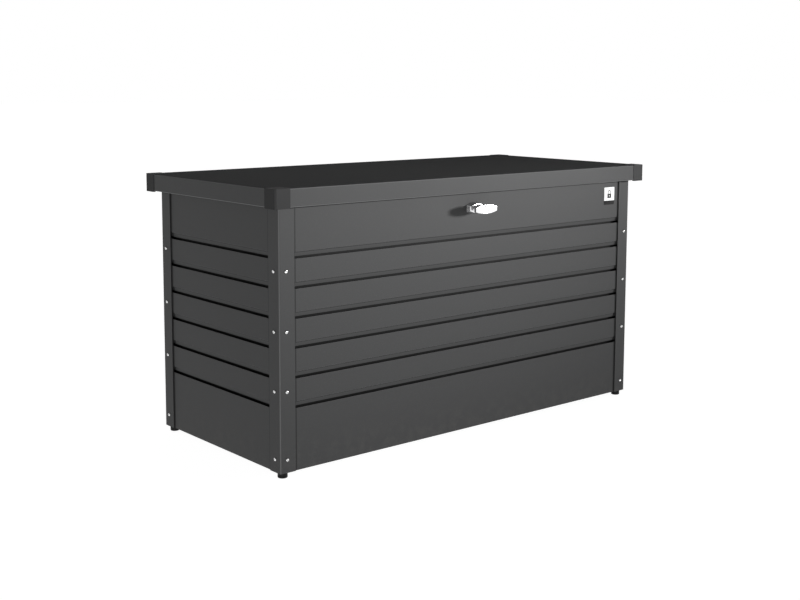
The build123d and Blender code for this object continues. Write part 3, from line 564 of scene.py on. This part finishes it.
def make_handle():
    """One casting from the lock plug's bore, over the bowed grip, down the neck to the spindle's end."""
    low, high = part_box("handle")
    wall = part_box("escutcheon")[1].y - low.y
    far = high.y - low.y
    middle = ((GRIP[0] + GRIP_FOOT[0]) / 2 + 3 * MM, (GRIP[1] + GRIP_FOOT[1]) / 2 + 1 * MM, GRIP[2])
    shape = sleeve([
        (-14.0 * MM, circle_at(8.05 * MM)),
        (-0.9 * MM, circle_at(8.05 * MM)),
        (-0.1 * MM, circle_at(8.85 * MM)),
        (0.0, circle_at(9.1 * MM)),
        (0.0, lens_at(*GRIP, 1.7 * MM)),
        (-0.25 * MM, lens_at(*GRIP, 0.8 * MM)),
        (-0.8 * MM, lens_at(*GRIP, 0.25 * MM)),
        (-1.7 * MM, lens_at(*GRIP)),
        (-6.0 * MM, lens_at(*GRIP)),
        (-8.0 * MM, lens_at(*GRIP, 0.6 * MM)),
        (-12.0 * MM, lens_at(*middle)),
        (-15.8 * MM, lens_at(*GRIP_FOOT, 0.2 * MM)),
        (-17.0 * MM, lens_at(*GRIP_FOOT, 1.4 * MM)),
        (-17.0 * MM, circle_at(9.8 * MM)),
        (-17.8 * MM, circle_at(9.0 * MM)),
        (1.0 * MM - wall, circle_at(9.0 * MM)),
        (1.0 * MM - wall, circle_at(6.0 * MM)),
        (0.8 * MM - far, circle_at(6.0 * MM)),
        (-far, circle_at(5.2 * MM)),
    ], around=96)
    keep(to_front(shape, low.y), "handle_casting", "handle", "chrome", "handle")


def make_rosette():
    """Domed rosette with a bore for the neck."""
    low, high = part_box("escutcheon")
    deep = high.y - low.y
    shape = sleeve([
        (-deep, circle_at(9.05 * MM)),
        (-0.8 * MM, circle_at(9.05 * MM)),
        (0.0, circle_at(9.9 * MM)),
        (0.0, lens_at(*ROSETTE_CROWN, 3.0 * MM)),
        (-0.4 * MM, lens_at(*ROSETTE_CROWN, 1.4 * MM)),
        (-1.4 * MM, lens_at(*ROSETTE_CROWN, 0.4 * MM)),
        (-3.0 * MM, lens_at(*ROSETTE_CROWN)),
        (1.6 * MM - deep, lens_at(*ROSETTE_BASE, 0.2 * MM)),
        (0.8 * MM - deep, lens_at(*ROSETTE_BASE)),
        (-deep, lens_at(*ROSETTE_BASE)),
    ], around=96, closed=False)
    keep(to_front(shape, low.y), "rosette", "chest", "chrome", "escutcheon")


# ---- feet, seal, label

def make_feet():
    """Round ribbed feet on stems."""
    for end in ("front", "rear"):
        for hand in ("left", "right"):
            node = f"foot_{end}_{hand}"
            low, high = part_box(node)
            shape = sleeve([
                (0.0, circle_at(10.4 * MM)),
                (0.5 * MM, circle_at(11.6 * MM)),
                (2.0 * MM, circle_at(12.5 * MM)),
                (5.0 * MM, circle_at(12.5 * MM)),
                (5.4 * MM, circle_at(11.9 * MM)),
                (6.2 * MM, circle_at(11.9 * MM)),
                (6.6 * MM, circle_at(12.5 * MM)),
                (14.4 * MM, circle_at(12.5 * MM)),
                (15.0 * MM, circle_at(12.0 * MM)),
                (15.0 * MM, circle_at(4.0 * MM)),
                (high.z, circle_at(4.0 * MM)),
            ])
            middle = (low + high) / 2
            bmesh.ops.translate(shape, vec=(middle.x, middle.y, 0.0), verts=shape.verts)
            keep(shape, f"ribbed_{node}", "chest", "foot_plastic", node)


def make_seal():
    """Foam strips with round shoulders, on the four top rails."""
    low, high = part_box("lid_seal")
    width = 8.0 * MM
    seam = 0.3 * MM
    seal = bmesh.new()
    inner_low = low.y + width + seam
    inner_high = high.y - width - seam
    strips = [
        ((low.x, low.y), (high.x, low.y + width)),
        ((low.x, high.y - width), (high.x, high.y)),
        ((low.x, inner_low), (low.x + width, inner_high)),
        ((high.x - width, inner_low), (high.x, inner_high)),
    ]
    for near, far in strips:
        strip = bar((*near, low.z), (*far, high.z), 3.4 * MM, 5, lambda e: on_top(e, high.z))
        add_copy(seal, strip, Matrix.Identity(4))
    keep(seal, "foam_seal", "chest", "seal_rubber", "lid_seal")


def on_top(edge, height):
    return all(abs(v.co.z - height) < 1e-5 for v in edge.verts)


def make_label():
    """A thin plate with rounded corners and a softened front edge."""
    low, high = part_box("label_plate")
    shape = bar(low, high, 2.4 * MM, 5, lambda e: abs(e.verts[0].co.y - e.verts[1].co.y) > 0.1 * MM)
    front = [e for e in shape.edges if all(abs(v.co.y - low.y) < 1e-6 for v in e.verts)]
    bmesh.ops.bevel(shape, geom=front, offset=0.2 * MM, offset_type="OFFSET", segments=2,
                    profile=0.5, affect="EDGES", material=-1)
    keep(shape, "label", "chest", "label_film", "label_plate")


# ---- floor, light, camera

CAMERA_PLACE = (-2.2579, -2.6409, 0.96907)
CAMERA_TURN = (0.69927, -0.11606, 0.00283)    # yaw, pitch and roll in radians


def make_camera():
    """A low three-quarter view from the front left, with the lens shifted a little."""
    data = bpy.data.cameras.new("camera")
    camera = bpy.data.objects.new("camera", data)
    bpy.context.scene.collection.objects.link(camera)
    data.sensor_width = 36.0
    data.lens = 54.786
    data.shift_y = -0.10
    data.clip_end = 100.0
    yaw, pitch, roll = CAMERA_TURN
    forward = Vector((math.sin(yaw) * math.cos(pitch), math.cos(yaw) * math.cos(pitch), math.sin(pitch)))
    right = Vector((math.cos(yaw), -math.sin(yaw), 0.0))
    up = right.cross(forward)
    side = right * math.cos(roll) + up * math.sin(roll)
    top = up * math.cos(roll) - right * math.sin(roll)
    turn = Matrix((side, top, -forward)).transposed().to_4x4()
    camera.matrix_world = Matrix.Translation(CAMERA_PLACE) @ turn
    bpy.context.scene.camera = camera


def make_floor():
    """A wide floor that glows softly, so that it and the horizon are one white."""
    shape = bmesh.new()
    bmesh.ops.create_grid(shape, x_segments=1, y_segments=1, size=40.0)
    data = bpy.data.meshes.new("studio_floor")
    shape.to_mesh(data)
    shape.free()
    floor = bpy.data.objects.new("studio_floor", data)
    bpy.context.scene.collection.objects.link(floor)
    paint = Finish("floor_paint", Roughness=0.9, Specular_IOR_Level=0.1, Emission_Strength=0.97)
    paint.feed(Base_Color=(0.26, 0.26, 0.26, 1.0), Emission_Color=(1.0, 1.0, 1.0, 1.0))
    data.materials.append(paint.material)


def add_lamp(name, place, target, size, power, spread=180):
    data = bpy.data.lights.new(name, "AREA")
    data.spread = math.radians(spread)
    data.shape = "RECTANGLE"
    data.size, data.size_y = size
    data.energy = power
    lamp = bpy.data.objects.new(name, data)
    bpy.context.scene.collection.objects.link(lamp)
    aim = Vector(target) - Vector(place)
    lamp.matrix_world = Matrix.Translation(place) @ aim.to_track_quat("-Z", "Y").to_matrix().to_4x4()


def make_light():
    """White all round the horizon, a dim ceiling, and a soft box low and far off at the front right."""
    world = bpy.data.worlds.new("studio")
    bpy.context.scene.world = world
    world.use_nodes = True
    sky = Nodes(world.node_tree)
    way = sky.node("ShaderNodeTexCoord", out="Generated")
    height = sky.node("ShaderNodeSeparateXYZ", {}, {"Vector": way}, "Z")
    shade = sky.ramp(height, (0.0, 1.0), (0.14, 1.0), (0.29, 0.14), (1.0, 0.09))
    ground = world.node_tree.nodes["Background"]
    plug(world.node_tree, ground.inputs["Color"], shade)
    ground.inputs["Strength"].default_value = 1.0
    add_lamp("side_box", (4.2, -4.0, 1.25), (-0.20, -0.3, 0.98), (1.0, 0.5), 9.8, 24)
    bpy.context.scene.view_settings.view_transform = "Standard"


dress_frame()
make_post_screws()
make_hinge_screws()
make_handle()
make_rosette()
make_feet()
make_seal()
make_label()
make_floor()
make_light()
make_camera()
